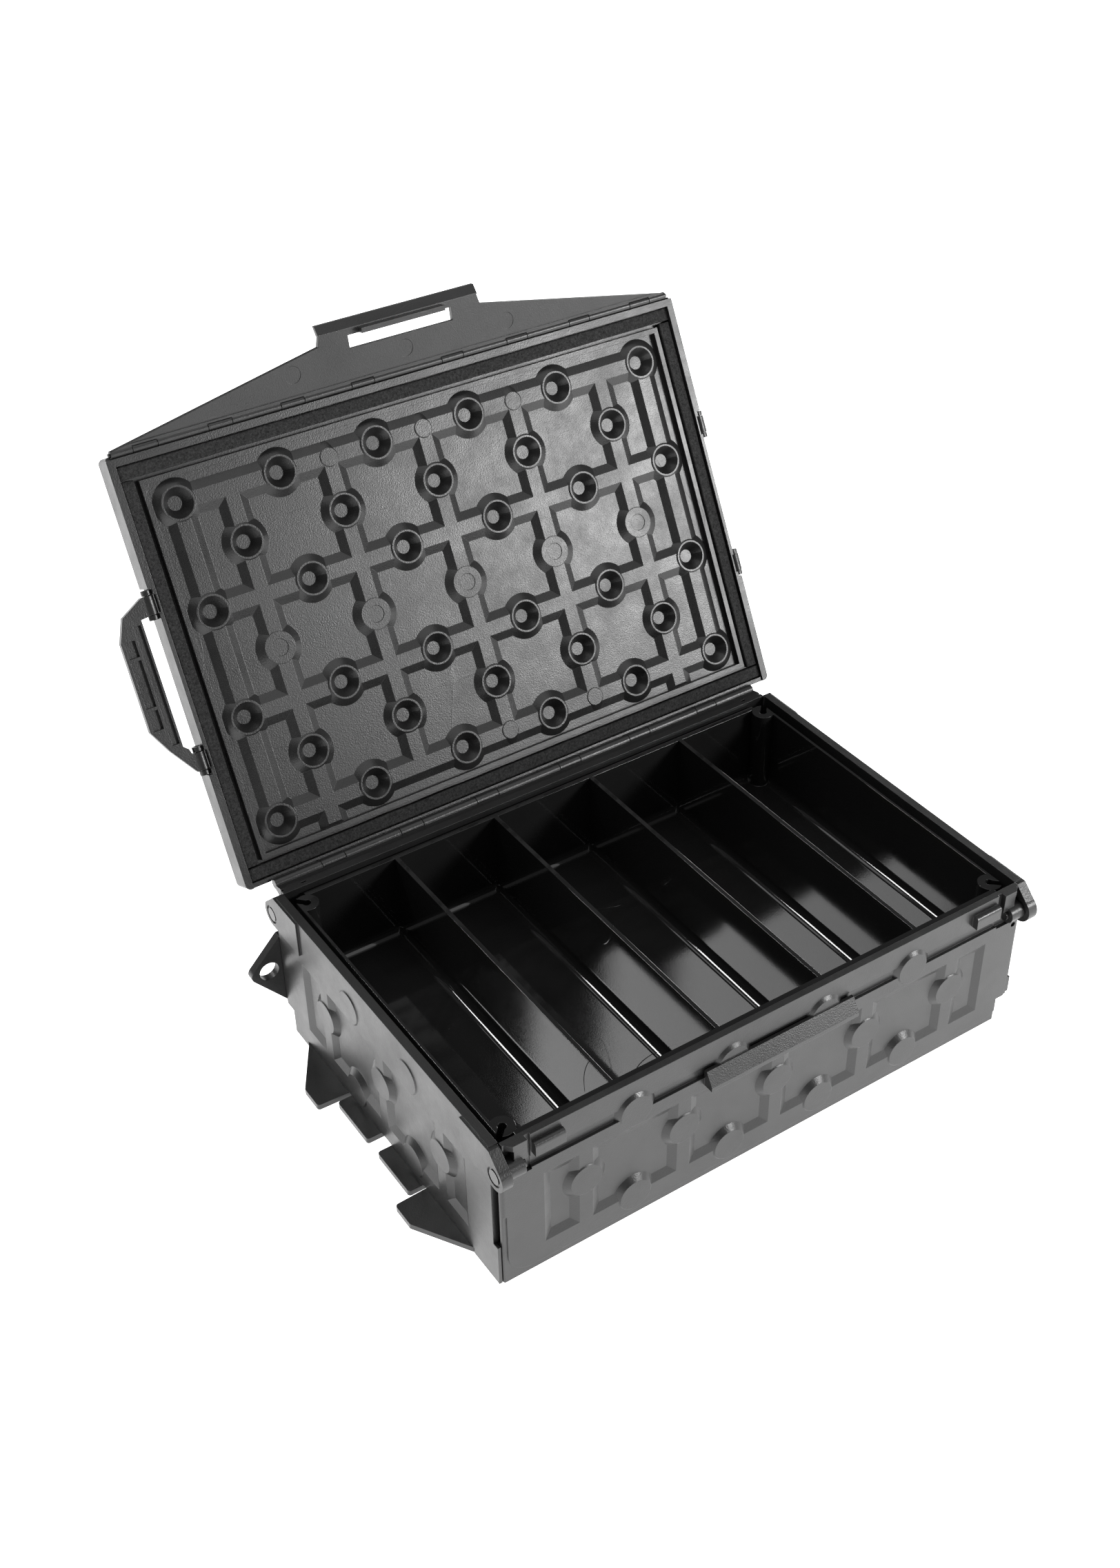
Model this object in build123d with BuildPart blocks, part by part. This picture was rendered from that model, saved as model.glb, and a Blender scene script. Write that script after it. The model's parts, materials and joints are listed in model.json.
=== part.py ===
from build123d import *
import math
import os

# A flat-pack utility case with a seal-lipped lid, shown with the lid open.
# Frame: origin on the floor under the middle of the case, X to the right, -Y to the front, Z up.

# ---- driving dimensions, in millimetres ----
pitch = 50.0                                  # grid of ribs and bosses on every panel
open_angle = 117.36                           # lid, from closed to its open stop
latch_tilt = 16.0                             # front latch, from the lid's plane
folded_angle = 90.0                           # right side latch, folded back against the lid's side

# case body
side_x = 142.7                                # outer face of the side walls
side_thick = 4.1
front_y = 94.9                                # outer face of the front and back walls
front_thick = 4.1
wall_top = 80.1
lug_low = 70.2                                # underside of the end walls' corner lugs
border_half = 138.6                           # raised field of the end walls, inside their sunk border
border_height = 3.2
base_thick = 3.0
front_half = 140.9                            # half length of the front and back walls
upper_half = 138.4                            # the same above their corner slots
side_half = 90.3                              # half length of the side walls
skin_thick = 1.5                              # of their outer skin, which laps the end walls' ends
corner_slot_low = 22.3                        # foot of the slot between a side wall and an end wall
corner_step_z = 13.3                          # step cut from two of the body's lower corners
corner_step_x = 134.0
corner_step_y = 86.5
shelf_z = 60.6                                # underside of the side walls' end plates

# relief on the walls and inside the lid
relief_depth = 1.8
relief_low = 13.5
relief_high = 55.0
rib_width = 6.7
bevel_width = 4.0                             # how far a rib's side slopes, seen from the front
boss_base_r = 10.6
boss_top_r = 7.8
boss_proud = 0.5

# corner pins
corner_y = 95.0
corner_z = 67.5
corner_pin_r = 2.2
corner_ear_r = 6.7
corner_barrel_r = 4.2
running_gap = 0.05                            # radial gap of every pin in its bore

# tray
tray_x = 135.6
tray_y = 89.1
tray_top = 77.7
tray_floor = 34.0
tray_side_wall = 1.4
tray_end_wall = 2.6
divider_thick = 2.2
divider_spots = (-82.1, -27.6, 27.6, 82.1)

# lid, in its own plane: x, v from the last boss row to the front, and height towards the inside
hinge_y = 101.05
hinge_z = 78.7
hinge_v = -26.05
hinge_off = 2.8
hinge_half = 138.2
lid_x = 151.0
lid_rear_v = -24.6
lid_front_v = 177.0
lid_outside = -10.0
lid_floor = -3.0
outer_relief_depth = 3.5
lip_height = 2.0
rear_lip_height = 1.2
channel_x = 147.5
channel_rear_v = -22.4
channel_front_v = 172.2
inner_rim_x = 136.8
inner_rim_rear_v = -11.7
inner_rim_front_v = 161.4
inner_rim_thick = 2.5
inner_rim_height = 0.9
seal_height = 0.7
seal_gap = 1.6

# hinge and latch pins
hinge_barrel_r = 2.4
hinge_pin_r = 1.1
latch_v = 177.6
latch_off = 0.5
latch_barrel_r = 1.9
latch_pin_r = 0.9
side_hinge_x = 151.3
side_hinge_off = -1.5
side_barrel_r = 2.6
side_recess_x = 149.3                         # lid's side face behind a folded side latch
side_recess_half = 43.4
side_pin_r = 1.2

# ---- planes ----
swing = math.radians(open_angle)
lid_in = Vector(0, -math.sin(swing), -math.cos(swing))
lid_along = Vector(0, -math.cos(swing), math.sin(swing))
hinge_point = Vector(0, hinge_y, hinge_z)
lid_plane = Plane(origin=hinge_point - lid_along * hinge_v - lid_in * hinge_off,
                  x_dir=(1, 0, 0), z_dir=lid_in)

tilt = math.radians(latch_tilt)
latch_plane = Plane(origin=lid_plane.from_local_coords((0, latch_v, latch_off)), x_dir=(1, 0, 0),
                    z_dir=lid_in * math.cos(tilt) - lid_along * math.sin(tilt))

fold = math.radians(folded_angle)
left_latch_plane = Plane(origin=lid_plane.from_local_coords((-side_hinge_x, 1.5 * pitch, side_hinge_off)),
                         x_dir=(-1, 0, 0), z_dir=-lid_in)
right_latch_plane = Plane(origin=lid_plane.from_local_coords((side_hinge_x, 1.5 * pitch, side_hinge_off)),
                          x_dir=Vector(math.cos(fold), 0, 0) - lid_in * math.sin(fold),
                          z_dir=lid_in * math.cos(fold) + Vector(math.sin(fold), 0, 0))

front_face = Plane(origin=(0, -front_y, 0), x_dir=(1, 0, 0), z_dir=(0, -1, 0))
back_face = Plane(origin=(0, front_y, 0), x_dir=(-1, 0, 0), z_dir=(0, 1, 0))
left_face = Plane(origin=(-side_x, 0, 0), x_dir=(0, -1, 0), z_dir=(-1, 0, 0))
right_face = Plane(origin=(side_x, 0, 0), x_dir=(0, 1, 0), z_dir=(1, 0, 0))


# ---- shapes that repeat, each added to the part being built ----
def block(x0, x1, y0, y1, z0, z1, mode=Mode.ADD):
    """A box between two corners, in the workplane's own directions."""
    with Locations(((x0 + x1) / 2, (y0 + y1) / 2, (z0 + z1) / 2)):
        Box(x1 - x0, y1 - y0, z1 - z0, mode=mode)


def sloped_bar(plane, x0, x1, y0, y1, height, bevel, mode=Mode.ADD):
    """A rectangle on a plane, raised, or sunk for a negative height, its sides sloping in by the bevel."""
    with BuildSketch(plane) as outline:
        with Locations(((x0 + x1) / 2, (y0 + y1) / 2)):
            Rectangle(x1 - x0, y1 - y0)
    slope = math.degrees(math.atan2(bevel, abs(height)))
    extrude(outline.sketch, amount=height, taper=slope, mode=mode)


def cones(points, base, top, base_r, top_r, mode=Mode.ADD):
    """Round tapered bosses, or tapered holes, at points of the workplane."""
    with Locations(*[(x, y, base) for x, y in points]):
        Cone(base_r, top_r, top - base, align=(Align.CENTER, Align.CENTER, Align.MIN), mode=mode)


def rod_x(x0, x1, y, z, radius, mode=Mode.ADD):
    """A round bar along the workplane's X direction."""
    with Locations(Location(((x0 + x1) / 2, y, z), (0, 90, 0))):
        Cylinder(radius, x1 - x0, mode=mode)


def rod_y(y0, y1, x, z, radius, mode=Mode.ADD):
    """A round bar along the workplane's Y direction."""
    with Locations(Location((x, (y0 + y1) / 2, z), (90, 0, 0))):
        Cylinder(radius, y1 - y0, mode=mode)


def rod_z(z0, z1, x, y, radius, mode=Mode.ADD):
    """A round bar along the workplane's Z direction."""
    with Locations((x, y, (z0 + z1) / 2)):
        Cylinder(radius, z1 - z0, mode=mode)


def wall_relief(face, rib_spots, boss_spots):
    """Sunk panels, upright ribs and round bosses on a wall's outer face."""
    relief_half = max(rib_spots) + 20.5
    floor = face.offset(-relief_depth)
    sloped_bar(face, -relief_half, relief_half, relief_low, relief_high,
               -relief_depth, bevel_width, Mode.SUBTRACT)
    half_base = rib_width / 2 + bevel_width
    for x in rib_spots:
        sloped_bar(floor, x - half_base, x + half_base, relief_low - 6, relief_high + 6,
                   relief_depth, bevel_width)
    mid_z = 38.1
    cones([(x, mid_z) for x in rib_spots], -relief_depth, boss_proud, boss_base_r, boss_top_r)
    cones([(x, 12.7) for x in boss_spots], -relief_depth, boss_proud, boss_base_r, boss_top_r)
    cones([(x, 63.5) for x in boss_spots], -relief_depth, boss_proud, boss_base_r, boss_top_r)


def lug_outline(face, side):
    """Top view of the lug at an end wall's corner, as a sketch on the lug's underside."""
    plane = Plane(origin=face.origin + Vector(0, 0, lug_low), x_dir=face.x_dir, z_dir=(0, 0, 1))
    with BuildSketch(plane) as lug:
        Polygon((side * 128.2, 3.6), (side * 128.2, -0.9), (side * 134.9, -0.9),
                (side * 138.2, 2.4), (side * 138.2, 3.6), align=None)
    return lug.sketch


def end_wall_shape(face):
    """Front or back wall, without what only one has. The two are alike, turned half way round."""
    with BuildSketch(Plane(origin=face.origin, x_dir=face.x_dir, z_dir=(0, 0, 1))) as wall_outline:
        with Locations((0, front_thick / 2)):
            Rectangle(2 * front_half, front_thick)
        fillet(wall_outline.vertices().sort_by(Axis.Y)[:2], 1.9)
    extrude(wall_outline.sketch, amount=wall_top)
    groove_low = 62.2
    groove_high = 67.6
    rail_high = 77.5
    block(-126, 126, groove_low, groove_high, -1.6, 0.1, Mode.SUBTRACT)
    block(-126, 126, groove_high, wall_top + 1, -0.9, 0.1, Mode.SUBTRACT)
    with BuildSketch(Plane(origin=face.origin, x_dir=face.z_dir, z_dir=face.x_dir)) as top_slope:
        Polygon((-0.9, rail_high), (-3.1, wall_top + 0.01), (0.5, wall_top + 0.01), (0.5, rail_high),
                align=None)
    extrude(top_slope.sketch, amount=126, both=True, mode=Mode.SUBTRACT)
    with BuildSketch(face) as border:
        with Locations((0, wall_top / 2)):
            Rectangle(2 * front_half + 2, wall_top + 2)
        with Locations((0, 50 + border_height)):
            RectangleRounded(2 * border_half, 100, 12, mode=Mode.SUBTRACT)
        with Locations((0, 40 + wall_top / 2)):
            Rectangle(2 * front_half + 3, wall_top, mode=Mode.SUBTRACT)
    extrude(border.sketch, amount=-0.5, mode=Mode.SUBTRACT)
    wall_relief(face, [pitch * i for i in range(-2, 3)], [pitch * (i + 0.5) for i in range(-2, 2)])
    for side in (-1, 1):
        block(*sorted((side * 126.0, side * 142.0)), 61.0, wall_top + 1, -1.9, 1, Mode.SUBTRACT)
        extrude(lug_outline(face, side), amount=wall_top - lug_low)
        block(*sorted((side * 134.6, side * 142.0)), 62.6, 77.0, -3.4, 1, Mode.SUBTRACT)
        rod_x(*sorted((side * 131.0, side * upper_half)), corner_z, corner_y - front_y, corner_barrel_r)
        block(*sorted((side * 131.0, side * upper_half)), corner_z - corner_barrel_r,
              corner_z + corner_barrel_r, -front_thick, 0)
        block(*sorted((side * upper_half, side * 142.0)), shelf_z - 0.3, wall_top + 1, -5, 1,
              Mode.SUBTRACT)
        rod_x(*sorted((side * 129.0, side * 141.0)), corner_z, corner_y - front_y,
              corner_pin_r + running_gap, Mode.SUBTRACT)
        rod_z(-front_thick - 1, 1, side * 137.0, 58.5, 1.3, Mode.SUBTRACT)
    block(-142, -136.8, corner_slot_low, shelf_z, -5, -2.0, Mode.SUBTRACT)
    block(corner_step_x, 142, -1, corner_step_z, -5, 1, Mode.SUBTRACT)


def side_wall_shape(face, front):
    """Side wall with relief, an end plate and ring at each corner, and a slot for the base's fins.

    front is the sign of the face's own x direction that points to the front of the case.
    """
    plateau_half = 69.8
    plate_top = 79.4
    ring_inner = upper_half + 0.4 - side_x
    ring_outer = 1.1
    block(-side_half, side_half, 0, wall_top, -side_thick, 0)
    block(*sorted((-front * 92.6, 0)), 0, shelf_z, -skin_thick, 0)
    block(*sorted((front * 93.6, 0)), 0, corner_slot_low, -skin_thick, 0)
    wall_relief(face, [-pitch, 0, pitch], [-pitch / 2, pitch / 2])
    for side in (-1, 1):
        with BuildSketch(face.offset(ring_inner)) as ring:
            Polygon((side * plateau_half, shelf_z), (side * plateau_half, plate_top),
                    (side * 92.0, plate_top), (side * 100.5, 71.4), (side * corner_y, corner_z),
                    (side * corner_y, shelf_z + 0.3), align=None)
            with Locations((side * corner_y, corner_z)):
                Circle(corner_ear_r)
        extrude(ring.sketch, amount=ring_outer - ring_inner)
        rod_z(ring_outer - 0.5, 5, side * corner_y, corner_z, 4.6, Mode.SUBTRACT)
        rod_z(-5, 5, side * corner_y, corner_z, corner_pin_r + running_gap, Mode.SUBTRACT)
    block(-74, 74, -1, base_thick + 0.1, -side_thick - 1, 1, Mode.SUBTRACT)
    block(-95, -corner_step_y, -1, corner_step_z, -side_thick - 1, 1, Mode.SUBTRACT)


def corner_pin_shape(x_sign, y_sign):
    """Headed pin that locks a side wall to the front or back wall."""
    y = y_sign * corner_y
    rod_x(*sorted((x_sign * 129.5, x_sign * (side_x + 0.8))), y, corner_z, corner_pin_r)
    rod_x(*sorted((x_sign * (side_x + 0.65), x_sign * (side_x + 1.1))), y, corner_z, 3.4)


# ---- case body ----
with BuildPart() as base_panel:
    base_half = side_x - side_thick - 0.3
    block(-base_half, base_half, -90.5, 90.5, 0, base_thick)
    with BuildSketch() as fins:
        for x_sign in (-1, 1):
            for y_sign in (-1, 1):
                with BuildLine() as fin_edge:
                    Polyline((x_sign * 130, y_sign * 34), (x_sign * 158.5, y_sign * 35),
                             (x_sign * 158.5, y_sign * 47.5), (x_sign * 142.6, y_sign * 73.5),
                             (x_sign * 130, y_sign * 73.5), close=True)
                make_face()
        with Locations(*[(x * 140, y * 18.25) for x in (-1, 1) for y in (-1, 1)]):
            Rectangle(20, 27.5)
    extrude(amount=base_thick)
    fillet(base_panel.edges().filter_by(Axis.Z).filter_by_position(Axis.X, 149, 160), 1.5)
    fillet(base_panel.edges().filter_by(Axis.Z).filter_by_position(Axis.X, -160, -149), 1.5)
base_panel.part.label = "base_panel"

with BuildPart(front_face) as front_wall:
    end_wall_shape(front_face)
    with BuildSketch(Plane(origin=(0, -front_y, 0), x_dir=(0, 1, 0), z_dir=(1, 0, 0))) as catch_profile:
        Polygon((0.5, 66.3), (-1.1, 66.3), (-5.1, 60.0), (-5.1, 57.8), (0.5, 57.8), align=None)
    extrude(catch_profile.sketch, amount=40, both=True)
    for side in (-1, 1):
        rod_x(*sorted((side * 110.8, side * 125.3)), 74.2, 0.3, 1.9)
        block(*sorted((side * 110.8, side * 125.3)), 69.5, 74.2, -1.5, 2.2)
front_wall.part.label = "front_wall"

with BuildPart(back_face) as back_wall:
    end_wall_shape(back_face)
    strip_profile_plane = Plane(origin=(0, 0, 0), x_dir=(0, 1, 0), z_dir=(1, 0, 0))
    with BuildSketch(strip_profile_plane) as strip_profile:
        Polygon((front_y - 1.0, wall_top), (front_y, wall_top), (98.9, 79.1), (hinge_y, 79.1),
                (hinge_y, 76.8), (98.0, 75.6), (front_y - 1.0, 73.0), align=None)
    extrude(strip_profile.sketch, amount=hinge_half, both=True)
    rod_x(-hinge_half, hinge_half, hinge_z, hinge_y - front_y, hinge_barrel_r)
    for x in (-108, -66, -24, 24, 66, 108):
        block(x - 6.3, x + 6.3, 60, 90, 98.3 - front_y, 110 - front_y, Mode.SUBTRACT)
    rod_x(-hinge_half - 1, hinge_half + 1, hinge_z, hinge_y - front_y,
          hinge_pin_r + running_gap, Mode.SUBTRACT)
    ear_back = 2.1
    ear_front = -1.9
    for side in (-1, 1):
        with BuildSketch(back_face.offset(ear_front)) as ear:
            with BuildLine():
                Polyline((side * 136, 15.5), (side * 142.45, 15.5), (side * 159.9, 36.9),
                         (side * 142.6, 54.8), (side * 136, 54.8), close=True)
            make_face()
            fillet(ear.vertices().sort_by(Axis.X)[-1 if side > 0 else 0], 4.0)
            with Locations((side * 149.6, 36.8)):
                Circle(4.9, mode=Mode.SUBTRACT)
        extrude(ear.sketch, amount=ear_back - ear_front)
back_wall.part.label = "back_wall"

with BuildPart(left_face) as left_wall:
    side_wall_shape(left_face, 1)
left_wall.part.label = "left_wall"

with BuildPart(right_face) as right_wall:
    side_wall_shape(right_face, -1)
right_wall.part.label = "right_wall"

with BuildPart() as front_left_pin:
    corner_pin_shape(-1, -1)
front_left_pin.part.label = "front_left_pin"

with BuildPart() as front_right_pin:
    corner_pin_shape(1, -1)
front_right_pin.part.label = "front_right_pin"

with BuildPart() as rear_left_pin:
    corner_pin_shape(-1, 1)
rear_left_pin.part.label = "rear_left_pin"

with BuildPart() as rear_right_pin:
    corner_pin_shape(1, 1)
rear_right_pin.part.label = "rear_right_pin"

# ---- tray ----
pocket_fillet = 4.4
pocket_half_y = tray_y - tray_end_wall
tray_ends = (tray_side_wall - tray_x, tray_x - tray_side_wall)
pocket_edges = [tray_ends[0]]
for spot in divider_spots:
    pocket_edges += [spot - divider_thick / 2, spot + divider_thick / 2]
pocket_edges.append(tray_ends[1])
post_x = 131.5
post_y = 82.2
post_r = 5.6
post_spots = [(x * post_x, y * post_y) for x in (-1, 1) for y in (-1, 1)]

with BuildPart() as tray:
    block(-tray_x, tray_x, -tray_y, tray_y, tray_floor - 2.2, tray_top)
    for x0, x1 in zip(pocket_edges[0::2], pocket_edges[1::2]):
        with BuildPart(mode=Mode.PRIVATE) as pocket:
            block(x0, x1, -pocket_half_y, pocket_half_y, tray_floor, tray_top + 1)
            fillet(pocket.faces().sort_by(Axis.Z)[0].edges(), pocket_fillet)
        add(pocket.part, mode=Mode.SUBTRACT)
    for x, y in post_spots:
        corner_x = sorted((math.copysign(129.5, x), math.copysign(tray_x + 1, x)))
        corner_y_span = sorted((math.copysign(80.2, y), math.copysign(tray_y + 1, y)))
        block(*corner_x, *corner_y_span, 0, tray_top + 1, Mode.SUBTRACT)
        rod_z(base_thick + 0.3, tray_top, x, y, post_r)
        block(*sorted((math.copysign(tray_x, x), 2 * x)), y - 8, y + 8, 0, tray_top + 1, Mode.SUBTRACT)
        rod_z(base_thick, tray_top + 1, x, y, 1.9, Mode.SUBTRACT)
        outward = math.degrees(math.atan2(math.copysign(1, y), math.copysign(1, x)))
        with Locations(Location((x, y, 40), (0, 0, outward))):
            Box(2 * post_r, 2.9, 90, align=(Align.MIN, Align.CENTER, Align.CENTER), mode=Mode.SUBTRACT)
tray.part.label = "tray"

# ---- lid ----
cone_rows = (3 * pitch, 2 * pitch, pitch, 0)
full_columns = [pitch * (i + 0.5) for i in range(-3, 3)]
half_columns = [pitch * i for i in range(-2, 3)]
cone_spots = [(x, v) for v in cone_rows for x in full_columns]
cone_spots += [(x, v) for v in (2.5 * pitch, 0.5 * pitch) for x in half_columns]
disc_spots = [(x, 1.5 * pitch) for x in half_columns]
grid_lines = [(x, x, 0, 3 * pitch) for x in half_columns + [-2.5 * pitch, 2.5 * pitch]]
grid_lines += [(-2.5 * pitch, 2.5 * pitch, v, v) for v in cone_rows]
stub_lines = [(x, x, -6.8, 0) for x in (-2 * pitch, 2 * pitch)]
pad_spots = [(x, 3 * pitch) for x in (-pitch, 0, pitch)] + [(0, 0), (pitch, 0)]
knuckle_spots = (-108, -66, -24, 24, 66, 108)
latch_knuckles = [-132, -96, -60, -24, 24, 60, 96, 132]
side_knuckles = (-36.3, 36.3)
side_knuckle_half = 4.2

with BuildPart(lid_plane) as lid_panel:
    block(-lid_x, lid_x, lid_rear_v, lid_front_v, lid_outside, lip_height)
    fillet(lid_panel.edges().filter_by(Axis(origin=(0, 0, 0), direction=lid_in)), 2.5)
    block(-channel_x, channel_x, channel_rear_v, channel_front_v, lid_floor, lip_height + 1, Mode.SUBTRACT)
    block(-channel_x, channel_x, lid_rear_v - 1, channel_rear_v, rear_lip_height, lip_height + 1,
          Mode.SUBTRACT)
    rim_x = inner_rim_x + inner_rim_thick
    block(-rim_x, rim_x, inner_rim_rear_v - inner_rim_thick, inner_rim_front_v + inner_rim_thick,
          lid_floor, inner_rim_height)
    block(-inner_rim_x, inner_rim_x, inner_rim_rear_v, inner_rim_front_v, -relief_depth, lip_height,
          Mode.SUBTRACT)
    half_base = rib_width / 2 + bevel_width
    for x0, x1, v0, v1 in grid_lines + stub_lines:
        sloped_bar(lid_plane.offset(-relief_depth), x0 - half_base, x1 + half_base,
                   v0 - half_base, v1 + half_base, relief_depth, bevel_width)
    cones(cone_spots, -relief_depth, 0.4, 11.3, 7.9)
    cones(disc_spots, -relief_depth, 0.1, 11.3, 7.4)
    cones(pad_spots, -relief_depth, 0.25, 7.4, 4.2)
    cones(cone_spots, -4.5, 0.41, 3.3, 7.0, Mode.SUBTRACT)
    for x, v in disc_spots:
        rod_z(-0.15, 0.2, x, v, 4.0, Mode.SUBTRACT)
    block(-lid_x, lid_x, 175.7, lid_front_v, 0.3, lip_height, Mode.SUBTRACT)
    # outside: sunk panels with the same ribs and bosses
    sloped_bar(lid_plane.offset(lid_outside), -138, 138, 1.5 * pitch - 88, 1.5 * pitch + 88,
               outer_relief_depth, outer_relief_depth, Mode.SUBTRACT)
    for x0, x1, v0, v1 in grid_lines:
        block(x0 - rib_width / 2, x1 + rib_width / 2, v0 - rib_width / 2, v1 + rib_width / 2,
              lid_outside, lid_outside + outer_relief_depth)
    cones(cone_spots + disc_spots, lid_outside, lid_outside + outer_relief_depth, 8.0, 10.5)
    # hinge side: room for the case's barrels, then the lid's own knuckles
    rod_x(-hinge_half - 0.4, hinge_half + 0.4, hinge_v, hinge_off, hinge_barrel_r + 0.3, Mode.SUBTRACT)
    for x in knuckle_spots:
        rod_x(x - 6, x + 6, hinge_v, hinge_off, hinge_barrel_r)
        block(x - 6, x + 6, hinge_v, lid_rear_v + 1, -1.5, hinge_off)
    rod_x(-hinge_half, hinge_half, hinge_v, hinge_off, hinge_pin_r + running_gap, Mode.SUBTRACT)
    # front side: room for the latch's knuckles, then the lid's own
    rod_x(-150, 150, latch_v, latch_off, latch_barrel_r + 0.3, Mode.SUBTRACT)
    for x in latch_knuckles:
        rod_x(x - 5.7, x + 5.7, latch_v, latch_off, latch_barrel_r)
        block(x - 5.7, x + 5.7, lid_front_v - 2.5, latch_v, latch_off - latch_barrel_r, latch_off + 0.4)
    rod_x(-151, 151, latch_v, latch_off, latch_pin_r + running_gap, Mode.SUBTRACT)
    # sides: notches for the side latches' knuckles and lugs for their pins
    for side in (-1, 1):
        block(*sorted((side * side_recess_x, side * (lid_x + 1))), 1.5 * pitch - side_recess_half,
              1.5 * pitch + side_recess_half, lid_outside - 1, lip_height + 1, Mode.SUBTRACT)
        for v in side_knuckles:
            middle = 1.5 * pitch + v
            x_span = sorted((side * (side_hinge_x - side_barrel_r - 0.3), side * (lid_x + 1)))
            for end in (-1, 1):
                lug_near = middle + end * (side_knuckle_half + 0.3)
                lug_far = middle + end * (side_knuckle_half + 2.5)
                rod_y(*sorted((lug_near, lug_far)), side * side_hinge_x, side_hinge_off, side_barrel_r - 0.2)
            block(*x_span, middle - side_knuckle_half - 0.3, middle + side_knuckle_half + 0.3,
                  side_hinge_off - side_barrel_r - 0.4, lip_height + 1, Mode.SUBTRACT)
            rod_y(middle - 6.8, middle + 6.8, side * side_hinge_x, side_hinge_off,
                  side_pin_r + running_gap, Mode.SUBTRACT)
lid_panel.part.label = "lid_panel"

strip_in_x = inner_rim_x + inner_rim_thick + seal_gap
strip_out_x = channel_x - 0.2
strip_rear = (channel_rear_v + 0.2, inner_rim_rear_v - inner_rim_thick - seal_gap)
strip_front = (inner_rim_front_v + inner_rim_thick + seal_gap, channel_front_v - 0.2)
strip_ends = (strip_rear[1] + 0.6, strip_front[0] - 0.6)

with BuildPart(lid_plane) as rear_seal:
    block(-strip_out_x, strip_out_x, *strip_rear, lid_floor, seal_height)
rear_seal.part.label = "rear_seal"

with BuildPart(lid_plane) as front_seal:
    block(-strip_out_x, strip_out_x, *strip_front, lid_floor, seal_height)
front_seal.part.label = "front_seal"

with BuildPart(lid_plane) as left_seal:
    block(-strip_out_x, -strip_in_x, *strip_ends, lid_floor, seal_height)
left_seal.part.label = "left_seal"

with BuildPart(lid_plane) as right_seal:
    block(strip_in_x, strip_out_x, *strip_ends, lid_floor, seal_height)
right_seal.part.label = "right_seal"

with BuildPart(lid_plane) as left_hinge_pin:
    rod_x(-hinge_half, -2, hinge_v, hinge_off, hinge_pin_r)
left_hinge_pin.part.label = "left_hinge_pin"

with BuildPart(lid_plane) as right_hinge_pin:
    rod_x(2, hinge_half, hinge_v, hinge_off, hinge_pin_r)
right_hinge_pin.part.label = "right_hinge_pin"

# ---- front latch: w runs from its hinge to the finger lip, height towards the case ----
plate_half_thick = 1.2
plate_w = 21.35
centre_half = 42.0
plate_end_x = 148.0
bend_w = 26.4
lip_w = 30.3
slot_half = 27.3
slot_w = (17.0, 23.2)
hook_half = 22.0
hook_w = (23.5, 25.9)
with BuildPart(latch_plane) as front_latch:
    with BuildSketch(latch_plane.offset(-plate_half_thick)) as plate:
        with BuildLine():
            Polyline((-plate_end_x, 0), (-plate_end_x, 1.5), (-centre_half - 0.8, plate_w),
                     (-centre_half + 0.5, bend_w), (centre_half - 0.5, bend_w),
                     (centre_half + 0.8, plate_w), (plate_end_x, 1.5), (plate_end_x, 0), close=True)
        make_face()
        with Locations((0, sum(slot_w) / 2)):
            Rectangle(2 * slot_half, slot_w[1] - slot_w[0], mode=Mode.SUBTRACT)
    extrude(plate.sketch, amount=2 * plate_half_thick)
    with BuildSketch(Plane(origin=latch_plane.origin, x_dir=latch_plane.y_dir,
                           z_dir=latch_plane.x_dir)) as lip_profile:
        Polygon((bend_w - 0.5, -1.2), (bend_w - 0.5, 1.2), (bend_w, 1.2), (lip_w, -1.2),
                (lip_w, -3.2), (bend_w, -1.2), align=None)
    extrude(lip_profile.sketch, amount=centre_half, both=True)
    block(-hook_half, hook_half, *hook_w, 0, 5.4)
    block(-plate_end_x, plate_end_x, 2.9, 3.3, plate_half_thick - 0.3, 2, Mode.SUBTRACT)
    for x, w in ((0.5, 10.6), (-57.5, 12.5), (55.6, 9.9)):
        rod_z(plate_half_thick - 0.15, 2, x, w, 4.0, Mode.SUBTRACT)
    for x in latch_knuckles:
        rod_x(x - 6.0, x + 6.0, 0, 0, latch_barrel_r + 0.3, Mode.SUBTRACT)
    gaps = [-plate_end_x] + latch_knuckles + [plate_end_x]
    for x0, x1 in zip(gaps[:-1], gaps[1:]):
        rod_x(x0 + (6.0 if x0 > -plate_end_x else 0), x1 - (6.0 if x1 < plate_end_x else 0),
              0, 0, latch_barrel_r)
    rod_x(-150, 150, 0, 0, latch_pin_r + running_gap, Mode.SUBTRACT)
front_latch.part.label = "front_latch"

with BuildPart(latch_plane) as left_latch_pin:
    rod_x(-149, -2, 0, 0, latch_pin_r)
left_latch_pin.part.label = "left_latch_pin"

with BuildPart(latch_plane) as right_latch_pin:
    rod_x(2, 149, 0, 0, latch_pin_r)
right_latch_pin.part.label = "right_latch_pin"


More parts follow.
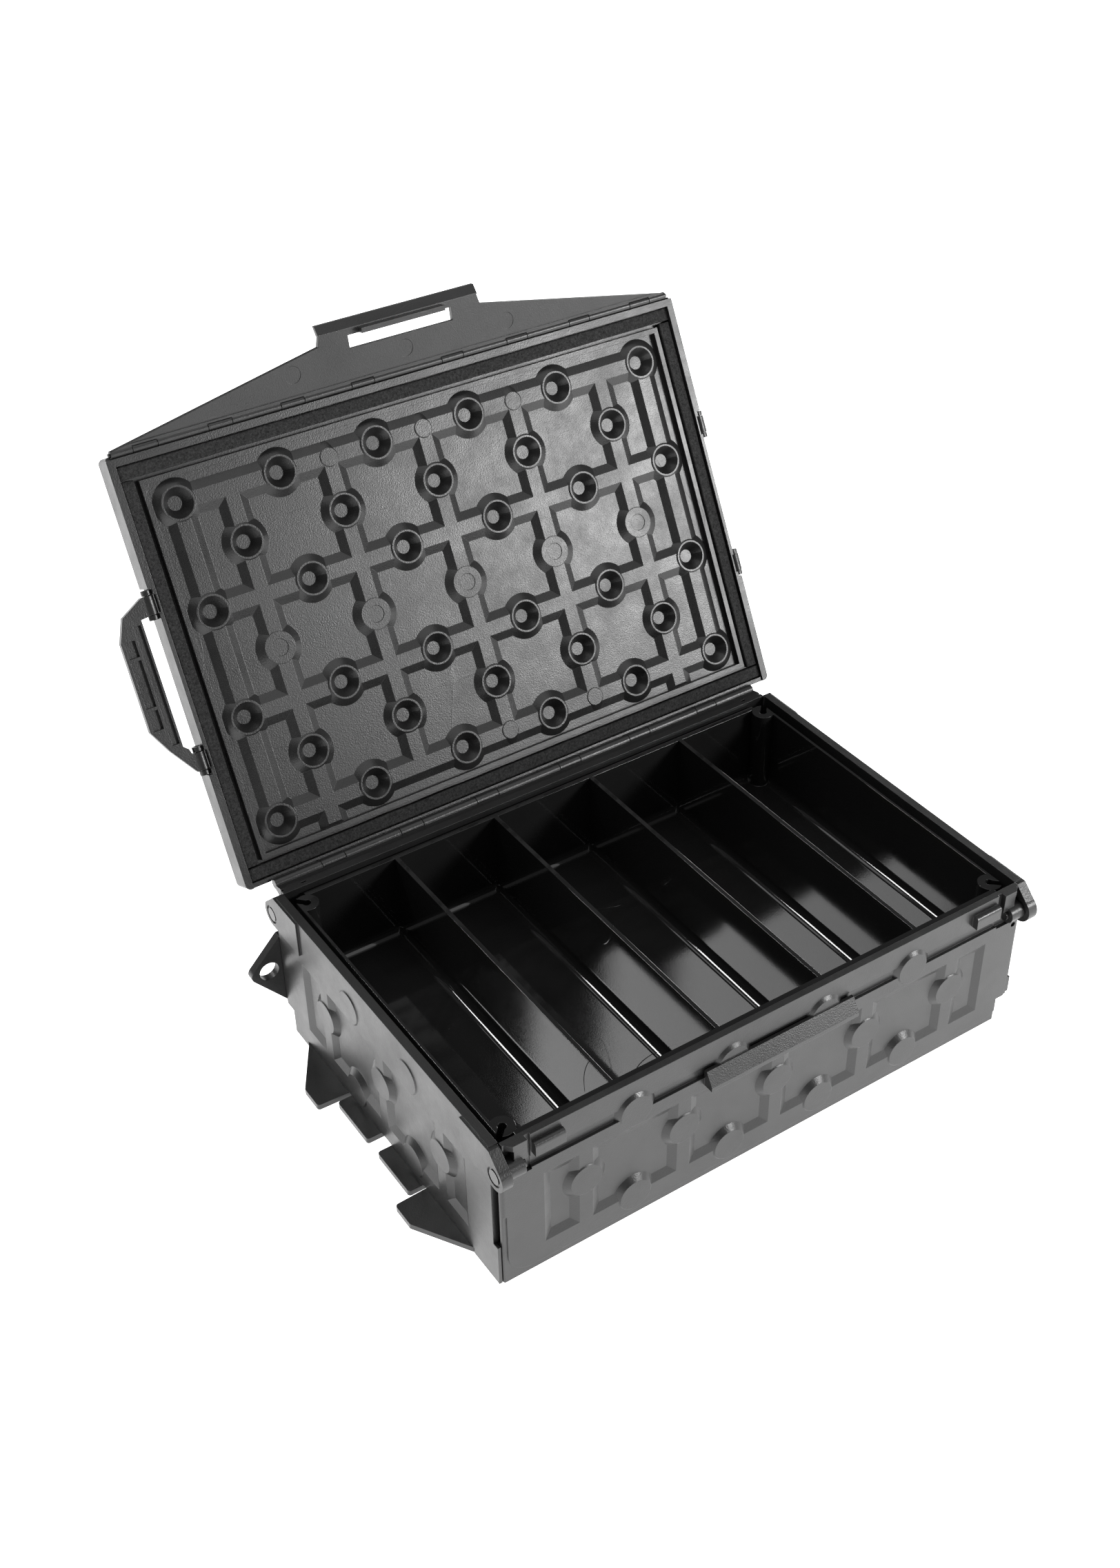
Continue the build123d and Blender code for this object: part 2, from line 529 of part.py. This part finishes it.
# ---- side latches: s runs outwards from the hinge, v along it ----
def side_latch_shape(plane, inner):
    """U-shaped stacking latch; inner is the sign of the local height that faces the inside of the lid."""
    half_thick = 1.6
    with BuildSketch(plane.offset(-half_thick)) as frame:
        with BuildLine():
            Polyline((0, 40.5), (3.4, 40.5), (14.0, 34.5), (18.3, 24.0), (18.3, -17.0), (12.5, -27.5),
                     (3.4, -40.5), (0, -40.5), close=True)
        make_face()
        with BuildLine():
            Polyline((-1, 32.1), (6.2, 31.4), (6.2, -27.5), (4.0, -29.5), (3.3, -32.1), (-1, -32.1),
                     close=True)
        make_face(mode=Mode.SUBTRACT)
    extrude(frame.sketch, amount=2 * half_thick)
    for v in side_knuckles:
        rod_y(v - side_knuckle_half, v + side_knuckle_half, 0, 0, side_barrel_r)
        rod_y(v - 6, v + 6, 0, 0, side_pin_r + running_gap, Mode.SUBTRACT)
    groove = sorted((inner * (half_thick + 1), inner * (half_thick - 1.3)))
    block(7.3, 10.6, -25.5, 29.5, *groove, Mode.SUBTRACT)
    for v0, v1 in ((-17, -8), (-6.5, 15), (16.5, 24)):
        block(12.0, 16.8, v0, v1, *groove, Mode.SUBTRACT)


with BuildPart(left_latch_plane) as left_side_latch:
    side_latch_shape(left_latch_plane, -1)
left_side_latch.part.label = "left_side_latch"

with BuildPart(right_latch_plane) as right_side_latch:
    side_latch_shape(right_latch_plane, 1)
right_side_latch.part.label = "right_side_latch"

with BuildPart(left_latch_plane) as left_side_pins:
    for v in side_knuckles:
        rod_y(v - 6.5, v + 6.5, 0, 0, side_pin_r)
left_side_pins.part.label = "left_side_pins"

with BuildPart(right_latch_plane) as right_side_pins:
    for v in side_knuckles:
        rod_y(v - 6.5, v + 6.5, 0, 0, side_pin_r)
right_side_pins.part.label = "right_side_pins"

# ---- files ----
pieces = (base_panel, front_wall, back_wall, left_wall, right_wall, front_left_pin, front_right_pin,
          rear_left_pin, rear_right_pin, tray, lid_panel, rear_seal, front_seal, left_seal, right_seal,
          left_hinge_pin, right_hinge_pin, front_latch, left_latch_pin, right_latch_pin,
          left_side_latch, right_side_latch, left_side_pins, right_side_pins)
os.makedirs("parts", exist_ok=True)
for piece in pieces:
    export_step(piece.part, f"parts/{piece.part.label}.step")
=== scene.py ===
import json
import math

import bmesh
import bpy
from mathutils import Matrix, Vector, noise


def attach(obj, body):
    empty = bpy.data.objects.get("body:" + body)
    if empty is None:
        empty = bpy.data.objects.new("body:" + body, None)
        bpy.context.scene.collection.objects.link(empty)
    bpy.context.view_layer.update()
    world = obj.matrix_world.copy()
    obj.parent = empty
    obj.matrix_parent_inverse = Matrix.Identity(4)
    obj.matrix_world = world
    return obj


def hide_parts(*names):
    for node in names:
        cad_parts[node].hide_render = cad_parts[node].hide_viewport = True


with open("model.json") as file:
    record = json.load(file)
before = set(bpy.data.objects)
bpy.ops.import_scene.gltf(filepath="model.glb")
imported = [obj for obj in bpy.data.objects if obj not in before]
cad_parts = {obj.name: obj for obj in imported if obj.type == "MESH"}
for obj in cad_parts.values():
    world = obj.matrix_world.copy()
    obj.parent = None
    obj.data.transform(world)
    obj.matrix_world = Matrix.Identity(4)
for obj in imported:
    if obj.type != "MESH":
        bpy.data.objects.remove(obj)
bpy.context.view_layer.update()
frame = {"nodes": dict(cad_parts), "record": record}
nodes = frame["nodes"]

# ---- camera ----
camera_place = Vector((-0.397154, -0.532706, 0.642469))
camera_azimuth = math.radians(-33.2794)
camera_elevation = math.radians(37.1411)
camera_roll = math.radians(-0.9066)
camera_lens = 44.014

# ---- studio ----
world_strength = 0.12
floor_half = 6.0
floor_glow = 1.5


def make_camera():
    """The viewing angle: from the front left, above, with the case standing on the floor."""
    across = Vector((math.cos(camera_azimuth), math.sin(camera_azimuth), 0))
    back = Vector((math.sin(camera_azimuth) * math.cos(camera_elevation),
                   -math.cos(camera_azimuth) * math.cos(camera_elevation),
                   math.sin(camera_elevation)))
    upward = back.cross(across)
    right = across * math.cos(camera_roll) + upward * math.sin(camera_roll)
    top = upward * math.cos(camera_roll) - across * math.sin(camera_roll)
    data = bpy.data.cameras.new("camera")
    data.sensor_fit = "VERTICAL"
    data.sensor_height = 36.0
    data.lens = camera_lens
    data.clip_start = 0.01
    data.clip_end = 50.0
    camera = bpy.data.objects.new("camera", data)
    bpy.context.scene.collection.objects.link(camera)
    turn = Matrix((right, top, back)).transposed().to_4x4()
    camera.matrix_world = Matrix.Translation(camera_place) @ turn
    bpy.context.scene.camera = camera


def make_light(name, place, aim, size, radiance):
    """A softbox at place, pointing at aim, equally bright whatever its size."""
    data = bpy.data.lights.new(name, "AREA")
    data.shape = "RECTANGLE"
    data.size, data.size_y = size
    data.energy = radiance * math.pi * size[0] * size[1]
    light = bpy.data.objects.new(name, data)
    bpy.context.scene.collection.objects.link(light)
    light.location = place
    light.rotation_euler = (Vector(aim) - Vector(place)).to_track_quat("-Z", "Y").to_euler()


def make_studio():
    """A pale floor that glows, so that it stays white, dim surroundings and soft lights."""
    world = bpy.data.worlds.new("studio")
    world.use_nodes = True
    background = world.node_tree.nodes["Background"]
    background.inputs["Color"].default_value = (1, 1, 1, 1)
    background.inputs["Strength"].default_value = world_strength
    bpy.context.scene.world = world
    mesh = bpy.data.meshes.new("floor")
    mesh.from_pydata([(-floor_half, -floor_half, 0), (floor_half, -floor_half, 0),
                      (floor_half, floor_half, 0), (-floor_half, floor_half, 0)],
                     [], [(0, 1, 2, 3)])
    floor = bpy.data.objects.new("floor", mesh)
    bpy.context.scene.collection.objects.link(floor)
    material = bpy.data.materials.new("pale_floor")
    material.use_nodes = True
    shader = material.node_tree.nodes["Principled BSDF"]
    shader.inputs["Base Color"].default_value = (0.95, 0.95, 0.95, 1)
    shader.inputs["Roughness"].default_value = 0.9
    shader.inputs["Specular IOR Level"].default_value = 0.0
    shader.inputs["Emission Color"].default_value = (1, 1, 1, 1)
    shader.inputs["Emission Strength"].default_value = floor_glow
    mesh.materials.append(material)
    make_light("overhead", (0, -0.2, 2.6), (0, -0.2, 0), (3.0, 2.6), 1.2)
    make_light("key", (1.3, -1.55, 0.85), (0.05, 0.1, 0.18), (0.7, 0.5), 33)
    make_light("right", (1.5, 0.75, 0.25), (0.1, 0.12, 0.15), (1.0, 0.5), 9)
    make_light("window", (0.04, 0.95, 1.2), (0.04, 0.95, 0), (0.36, 0.5), 1.8)
    make_light("rear_left", (-0.75, 0.85, 1.1), (0, 0, 0), (0.2, 0.5), 27)
    bpy.context.scene.view_settings.view_transform = "Standard"


# ---- materials ----
class Nodes:
    """A few words to build a shader with."""

    def __init__(self, name):
        self.material = bpy.data.materials.new(name)
        self.material.use_nodes = True
        self.tree = self.material.node_tree
        self.shader = self.tree.nodes["Principled BSDF"]
        self.coords = self.tree.nodes.new("ShaderNodeTexCoord").outputs["Object"]

    def add(self, kind, **inputs):
        node = self.tree.nodes.new(kind)
        for key, value in inputs.items():
            self.set(node, key.replace("_", " "), value)
        return node

    def set(self, node, key, value):
        socket = node.inputs[key]
        if isinstance(value, bpy.types.NodeSocket):
            self.tree.links.new(value, socket)
        else:
            socket.default_value = value

    def noise(self, scale, detail=2.0, roughness=0.5):
        return self.add("ShaderNodeTexNoise", Vector=self.coords, Scale=scale, Detail=detail,
                        Roughness=roughness).outputs["Fac"]

    def spread(self, value, low, high, to_low, to_high):
        node = self.add("ShaderNodeMapRange")
        self.set(node, "Value", value)
        for key, number in (("From Min", low), ("From Max", high),
                            ("To Min", to_low), ("To Max", to_high)):
            node.inputs[key].default_value = number
        return node.outputs["Result"]

    def colours(self, value, stops):
        node = self.tree.nodes.new("ShaderNodeValToRGB")
        ramp = node.color_ramp
        while len(ramp.elements) < len(stops):
            ramp.elements.new(0.5)
        for element, (place, grey) in zip(ramp.elements, stops):
            element.position = place
            element.color = (*grey, 1)
        self.tree.links.new(value, node.inputs["Fac"])
        return node.outputs["Color"]

    def scratches(self):
        """Thin curved lines, here and there: the zero line of a slow noise, masked by another."""
        line = self.spread(self.distance_from_half(self.noise(9.0, 1.0)), 0.0, 0.0012, 1.0, 0.0)
        mask = self.spread(self.noise(23.0, 1.0), 0.58, 0.62, 0.0, 1.0)
        product = self.add("ShaderNodeMath")
        product.operation = "MULTIPLY"
        self.tree.links.new(line, product.inputs[0])
        self.tree.links.new(mask, product.inputs[1])
        return product.outputs["Value"]

    def distance_from_half(self, value):
        node = self.add("ShaderNodeMath")
        node.operation = "SUBTRACT"
        self.tree.links.new(value, node.inputs[0])
        node.inputs[1].default_value = 0.5
        absolute = self.add("ShaderNodeMath")
        absolute.operation = "ABSOLUTE"
        self.tree.links.new(node.outputs["Value"], absolute.inputs[0])
        return absolute.outputs["Value"]

    def bump(self, height, strength, distance, normal=None):
        node = self.add("ShaderNodeBump", Strength=strength, Distance=distance, Height=height)
        if normal is not None:
            self.set(node, "Normal", normal)
        return node.outputs["Normal"]


def moulded_plastic(name, dark, light, rough_low, rough_high, grain, edge, waviness):
    """Black moulded plastic: fine grain, slow flow marks, hair scratches, softly rounded edges."""
    n = Nodes(name)
    flow = n.noise(14.0, 4.0, 0.6)
    fine = n.noise(1600.0, 1.0)
    smears = n.noise(45.0, 7.0, 0.75)
    n.set(n.shader, "Base Color", n.colours(flow, ((0.3, dark), (0.7, light))))
    n.set(n.shader, "Roughness", n.spread(smears, 0.3, 0.7, rough_low, rough_high))
    n.shader.inputs["IOR"].default_value = 1.5
    rounded = n.add("ShaderNodeBevel", Radius=edge)
    rounded.samples = 6
    normal = n.bump(fine, grain, 0.0002, rounded.outputs["Normal"])
    normal = n.bump(n.scratches(), 0.25, 0.0001, normal)
    n.set(n.shader, "Normal", n.bump(flow, waviness, 0.002, normal))
    return n.material


def foam():
    """Dark grey open-cell foam."""
    n = Nodes("foam_seal")
    cells = n.add("ShaderNodeTexVoronoi", Vector=n.coords, Scale=2200.0).outputs["Distance"]
    mottled = n.noise(900.0, 5.0, 0.8)
    n.set(n.shader, "Base Color", n.colours(mottled, ((0.35, (0.008,) * 3), (0.7, (0.05,) * 3))))
    n.shader.inputs["Roughness"].default_value = 0.95
    n.shader.inputs["Specular IOR Level"].default_value = 0.2
    normal = n.bump(cells, 0.6, 0.0003)
    n.set(n.shader, "Normal", n.bump(mottled, 0.8, 0.0003, normal))
    return n.material


# ---- foam seals ----
lid_hinge = next(j for j in frame["record"]["behaviour"]["joints"] if j["name"] == "lid_hinge")
open_angle = math.radians(-lid_hinge["range_deg"][0])
lid_in = Vector((0, -math.sin(open_angle), -math.cos(open_angle)))
lid_along = Vector((0, -math.cos(open_angle), math.sin(open_angle)))
across = Vector((1, 0, 0))
shoulder = 0.0009
strip_step = 0.0025
crown_steps = 6
edge_wander = 0.0002
top_dip = 0.00022


def spans(node, axes):
    """How far a CAD piece reaches along each axis."""
    points = [nodes[node].matrix_world @ v.co for v in nodes[node].data.vertices]
    return [(min(p.dot(axis) for p in points), max(p.dot(axis) for p in points)) for axis in axes]


def foam_strip(node, material, runs_across, seed):
    """A cut foam strip, glued in its channel: soft shoulders, a slightly uneven top and edges."""
    axes = (across, lid_along, lid_in) if runs_across else (lid_along, across, lid_in)
    (start, end), (edge_0, edge_1), (low, high) = spans(node, axes)
    steps = int((end - start) / strip_step)
    mesh = bmesh.new()
    rings = []
    for i in range(steps + 1):
        t = start + (end - start) * i / steps
        ring = []
        trim = [edge_wander * (1 + noise.noise(Vector((t * 60, seed + side, 0))))
                for side in (0, 3)]
        left, right = edge_0 + trim[0], edge_1 - trim[1]
        heights = [(left, low), (left, high - shoulder)]
        heights += [(left + shoulder * (1 - math.cos(a)), high - shoulder * (1 - math.sin(a)))
                    for a in (math.radians(d) for d in (30, 60))]
        for k in range(crown_steps + 1):
            u = left + shoulder + (right - left - 2 * shoulder) * k / crown_steps
            dip = top_dip * (1 + noise.noise(Vector((t * 150, u * 220, seed))))
            heights.append((u, high - dip))
        heights += [(right - shoulder * (1 - math.cos(a)), high - shoulder * (1 - math.sin(a)))
                    for a in (math.radians(d) for d in (60, 30))]
        heights += [(right, high - shoulder), (right, low)]
        for u, h in heights:
            ring.append(mesh.verts.new(axes[0] * t + axes[1] * u + axes[2] * h))
        rings.append(ring)
    for ring, following in zip(rings[:-1], rings[1:]):
        for k in range(len(ring)):
            j = (k + 1) % len(ring)
            mesh.faces.new((ring[k], ring[j], following[j], following[k]))
    mesh.faces.new(rings[0])
    mesh.faces.new(rings[-1])
    bmesh.ops.recalc_face_normals(mesh, faces=mesh.faces[:])
    data = bpy.data.meshes.new(node + "_foam")
    mesh.to_mesh(data)
    mesh.free()
    data.materials.append(material)
    for polygon in data.polygons:
        polygon.use_smooth = True
    strip = bpy.data.objects.new(node + "_foam", data)
    bpy.context.scene.collection.objects.link(strip)
    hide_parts(node)
    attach(strip, "lid")


def paint(node, material):
    data = nodes[node].data
    data.materials.clear()
    data.materials.append(material)


make_camera()
make_studio()
shell = moulded_plastic("black_shell", (0.009,) * 3, (0.016,) * 3, 0.28, 0.42, 0.3, 0.0003, 0.03)
gloss = moulded_plastic("black_tray", (0.009,) * 3, (0.013,) * 3, 0.04, 0.07, 0.02, 0.0004, 0.0)
pin = moulded_plastic("pin", (0.01,) * 3, (0.014,) * 3, 0.22, 0.3, 0.1, 0.0002, 0.0)
soft = foam()
by_slot = {"black_shell": shell, "black_tray": gloss, "pin": pin, "foam_seal": soft}
for part in frame["record"]["subparts"]:
    paint(part["node"], by_slot[part["material_slot"]])
for seed, (node, runs_across) in enumerate((("rear_seal", True), ("front_seal", True),
                                            ("left_seal", False), ("right_seal", False))):
    foam_strip(node, soft, runs_across, 10.0 * seed)
